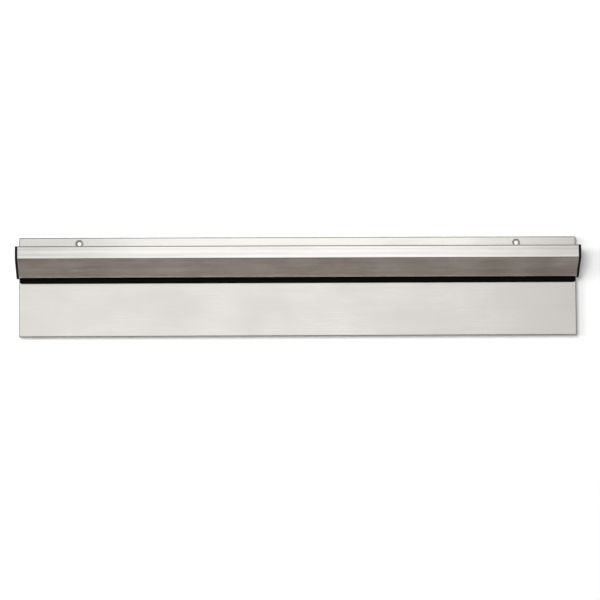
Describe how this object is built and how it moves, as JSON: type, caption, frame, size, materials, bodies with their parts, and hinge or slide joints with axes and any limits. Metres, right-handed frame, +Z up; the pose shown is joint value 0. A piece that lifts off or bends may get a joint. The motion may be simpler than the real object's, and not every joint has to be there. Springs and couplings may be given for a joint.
{
  "type": "order ticket rail",
  "caption": "Wall-mounted order ticket rail: folded steel back plate with a slanted marble channel that grips paper tickets against a rubber strip.",
  "frame": {"origin": "on the wall plane, midway between the two screw holes", "axes": "+X along the rail to the right as seen from the front, +Y into the wall (the front faces -Y), +Z up"},
  "size_m": [0.5132, 0.029, 0.091],
  "materials": {
    "plate_steel": "fine brushed, satin",
    "cover_steel": "brushed along the rail",
    "strip_rubber": "matt",
    "cap_plastic": "moulded, slightly glossy",
    "marble_glass": "polished clear glass"
  },
  "bodies": {
    "rail": {"back_plate": "plate_steel", "rail_cover": "cover_steel", "grip_strip": "strip_rubber", "end_cap_left": "cap_plastic", "end_cap_right": "cap_plastic"},
    "marble_01_ball": {"marble_01": "marble_glass"},
    "marble_02_ball": {"marble_02": "marble_glass"},
    "marble_03_ball": {"marble_03": "marble_glass"},
    "marble_04_ball": {"marble_04": "marble_glass"},
    "marble_05_ball": {"marble_05": "marble_glass"},
    "marble_06_ball": {"marble_06": "marble_glass"},
    "marble_07_ball": {"marble_07": "marble_glass"},
    "marble_08_ball": {"marble_08": "marble_glass"},
    "marble_09_ball": {"marble_09": "marble_glass"},
    "marble_10_ball": {"marble_10": "marble_glass"},
    "marble_11_ball": {"marble_11": "marble_glass"},
    "marble_12_ball": {"marble_12": "marble_glass"},
    "marble_13_ball": {"marble_13": "marble_glass"},
    "marble_14_ball": {"marble_14": "marble_glass"},
    "marble_15_ball": {"marble_15": "marble_glass"},
    "marble_16_ball": {"marble_16": "marble_glass"},
    "marble_17_ball": {"marble_17": "marble_glass"},
    "marble_18_ball": {"marble_18": "marble_glass"},
    "marble_19_ball": {"marble_19": "marble_glass"},
    "marble_20_ball": {"marble_20": "marble_glass"},
    "marble_21_ball": {"marble_21": "marble_glass"},
    "marble_22_ball": {"marble_22": "marble_glass"},
    "marble_23_ball": {"marble_23": "marble_glass"},
    "marble_24_ball": {"marble_24": "marble_glass"},
    "marble_25_ball": {"marble_25": "marble_glass"},
    "marble_26_ball": {"marble_26": "marble_glass"},
    "marble_27_ball": {"marble_27": "marble_glass"},
    "marble_28_ball": {"marble_28": "marble_glass"},
    "marble_29_ball": {"marble_29": "marble_glass"},
    "marble_30_ball": {"marble_30": "marble_glass"},
    "marble_31_ball": {"marble_31": "marble_glass"},
    "marble_32_ball": {"marble_32": "marble_glass"},
    "marble_33_ball": {"marble_33": "marble_glass"},
    "marble_34_ball": {"marble_34": "marble_glass"},
    "marble_35_ball": {"marble_35": "marble_glass"}
  },
  "joints": [
    {"name": "marble_01_lift", "type": "slide", "parent": "rail", "child": "marble_01_ball", "axis": [0, -0.7071, 0.7071], "range_m": [0, 0.0054]},
    {"name": "marble_02_lift", "type": "slide", "parent": "rail", "child": "marble_02_ball", "axis": [0, -0.7071, 0.7071], "range_m": [0, 0.0054]},
    {"name": "marble_03_lift", "type": "slide", "parent": "rail", "child": "marble_03_ball", "axis": [0, -0.7071, 0.7071], "range_m": [0, 0.0054]},
    {"name": "marble_04_lift", "type": "slide", "parent": "rail", "child": "marble_04_ball", "axis": [0, -0.7071, 0.7071], "range_m": [0, 0.0054]},
    {"name": "marble_05_lift", "type": "slide", "parent": "rail", "child": "marble_05_ball", "axis": [0, -0.7071, 0.7071], "range_m": [0, 0.0054]},
    {"name": "marble_06_lift", "type": "slide", "parent": "rail", "child": "marble_06_ball", "axis": [0, -0.7071, 0.7071], "range_m": [0, 0.0054]},
    {"name": "marble_07_lift", "type": "slide", "parent": "rail", "child": "marble_07_ball", "axis": [0, -0.7071, 0.7071], "range_m": [0, 0.0054]},
    {"name": "marble_08_lift", "type": "slide", "parent": "rail", "child": "marble_08_ball", "axis": [0, -0.7071, 0.7071], "range_m": [0, 0.0054]},
    {"name": "marble_09_lift", "type": "slide", "parent": "rail", "child": "marble_09_ball", "axis": [0, -0.7071, 0.7071], "range_m": [0, 0.0054]},
    {"name": "marble_10_lift", "type": "slide", "parent": "rail", "child": "marble_10_ball", "axis": [0, -0.7071, 0.7071], "range_m": [0, 0.0054]},
    {"name": "marble_11_lift", "type": "slide", "parent": "rail", "child": "marble_11_ball", "axis": [0, -0.7071, 0.7071], "range_m": [0, 0.0054]},
    {"name": "marble_12_lift", "type": "slide", "parent": "rail", "child": "marble_12_ball", "axis": [0, -0.7071, 0.7071], "range_m": [0, 0.0054]},
    {"name": "marble_13_lift", "type": "slide", "parent": "rail", "child": "marble_13_ball", "axis": [0, -0.7071, 0.7071], "range_m": [0, 0.0054]},
    {"name": "marble_14_lift", "type": "slide", "parent": "rail", "child": "marble_14_ball", "axis": [0, -0.7071, 0.7071], "range_m": [0, 0.0054]},
    {"name": "marble_15_lift", "type": "slide", "parent": "rail", "child": "marble_15_ball", "axis": [0, -0.7071, 0.7071], "range_m": [0, 0.0054]},
    {"name": "marble_16_lift", "type": "slide", "parent": "rail", "child": "marble_16_ball", "axis": [0, -0.7071, 0.7071], "range_m": [0, 0.0054]},
    {"name": "marble_17_lift", "type": "slide", "parent": "rail", "child": "marble_17_ball", "axis": [0, -0.7071, 0.7071], "range_m": [0, 0.0054]},
    {"name": "marble_18_lift", "type": "slide", "parent": "rail", "child": "marble_18_ball", "axis": [0, -0.7071, 0.7071], "range_m": [0, 0.0054]},
    {"name": "marble_19_lift", "type": "slide", "parent": "rail", "child": "marble_19_ball", "axis": [0, -0.7071, 0.7071], "range_m": [0, 0.0054]},
    {"name": "marble_20_lift", "type": "slide", "parent": "rail", "child": "marble_20_ball", "axis": [0, -0.7071, 0.7071], "range_m": [0, 0.0054]},
    {"name": "marble_21_lift", "type": "slide", "parent": "rail", "child": "marble_21_ball", "axis": [0, -0.7071, 0.7071], "range_m": [0, 0.0054]},
    {"name": "marble_22_lift", "type": "slide", "parent": "rail", "child": "marble_22_ball", "axis": [0, -0.7071, 0.7071], "range_m": [0, 0.0054]},
    {"name": "marble_23_lift", "type": "slide", "parent": "rail", "child": "marble_23_ball", "axis": [0, -0.7071, 0.7071], "range_m": [0, 0.0054]},
    {"name": "marble_24_lift", "type": "slide", "parent": "rail", "child": "marble_24_ball", "axis": [0, -0.7071, 0.7071], "range_m": [0, 0.0054]},
    {"name": "marble_25_lift", "type": "slide", "parent": "rail", "child": "marble_25_ball", "axis": [0, -0.7071, 0.7071], "range_m": [0, 0.0054]},
    {"name": "marble_26_lift", "type": "slide", "parent": "rail", "child": "marble_26_ball", "axis": [0, -0.7071, 0.7071], "range_m": [0, 0.0054]},
    {"name": "marble_27_lift", "type": "slide", "parent": "rail", "child": "marble_27_ball", "axis": [0, -0.7071, 0.7071], "range_m": [0, 0.0054]},
    {"name": "marble_28_lift", "type": "slide", "parent": "rail", "child": "marble_28_ball", "axis": [0, -0.7071, 0.7071], "range_m": [0, 0.0054]},
    {"name": "marble_29_lift", "type": "slide", "parent": "rail", "child": "marble_29_ball", "axis": [0, -0.7071, 0.7071], "range_m": [0, 0.0054]},
    {"name": "marble_30_lift", "type": "slide", "parent": "rail", "child": "marble_30_ball", "axis": [0, -0.7071, 0.7071], "range_m": [0, 0.0054]},
    {"name": "marble_31_lift", "type": "slide", "parent": "rail", "child": "marble_31_ball", "axis": [0, -0.7071, 0.7071], "range_m": [0, 0.0054]},
    {"name": "marble_32_lift", "type": "slide", "parent": "rail", "child": "marble_32_ball", "axis": [0, -0.7071, 0.7071], "range_m": [0, 0.0054]},
    {"name": "marble_33_lift", "type": "slide", "parent": "rail", "child": "marble_33_ball", "axis": [0, -0.7071, 0.7071], "range_m": [0, 0.0054]},
    {"name": "marble_34_lift", "type": "slide", "parent": "rail", "child": "marble_34_ball", "axis": [0, -0.7071, 0.7071], "range_m": [0, 0.0054]},
    {"name": "marble_35_lift", "type": "slide", "parent": "rail", "child": "marble_35_ball", "axis": [0, -0.7071, 0.7071], "range_m": [0, 0.0054]}
  ]
}
